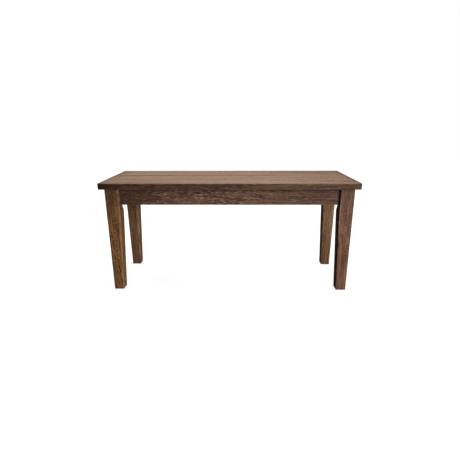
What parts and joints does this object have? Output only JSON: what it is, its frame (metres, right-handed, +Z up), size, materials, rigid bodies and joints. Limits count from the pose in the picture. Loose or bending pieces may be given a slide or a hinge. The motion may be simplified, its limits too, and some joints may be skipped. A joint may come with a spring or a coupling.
{
  "type": "backless bench",
  "caption": "Long backless wooden bench: flat plank seat overhanging an apron frame, on tapered square legs held by hanger bolts through corner blocks.",
  "frame": {"origin": "on the floor, under the middle of the seat", "axes": "+X towards the bench's right end along its length, +Y from front to back, +Z up"},
  "size_m": [1, 0.35, 0.45],
  "materials": {
    "seat_wood": "dark brown stained open-grained hardwood, brushed, dull wax",
    "frame_wood": "dark brown stained open-grained hardwood, brushed, dull wax",
    "leg_wood": "dark brown stained open-grained hardwood, brushed, arrises worn lighter",
    "inner_wood": "sawn and planed hardwood with a thin coat of stain",
    "tongue_wood": "bare birch plywood",
    "zinc_steel": "zinc plated",
    "screw_steel": "yellow zinc plated, dulled"
  },
  "bodies": {
    "root": {"seat_board_front": "seat_wood", "seat_board_middle": "seat_wood", "seat_board_back": "seat_wood", "apron_front": "frame_wood", "apron_back": "frame_wood", "apron_left": "frame_wood", "apron_right": "frame_wood", "leg_front_left": "leg_wood", "leg_front_right": "leg_wood", "leg_back_left": "leg_wood", "leg_back_right": "leg_wood", "corner_block_front_left": "inner_wood", "corner_block_front_right": "inner_wood", "corner_block_back_left": "inner_wood", "corner_block_back_right": "inner_wood", "seat_batten": "inner_wood", "seat_buttons": "inner_wood", "seat_tongues": "tongue_wood", "hanger_bolts": "zinc_steel", "hanger_bolt_washers": "zinc_steel", "hanger_bolt_nuts": "zinc_steel", "corner_block_screws": "screw_steel", "seat_button_screws": "screw_steel", "seat_batten_screws": "screw_steel"}
  },
  "joints": []
}
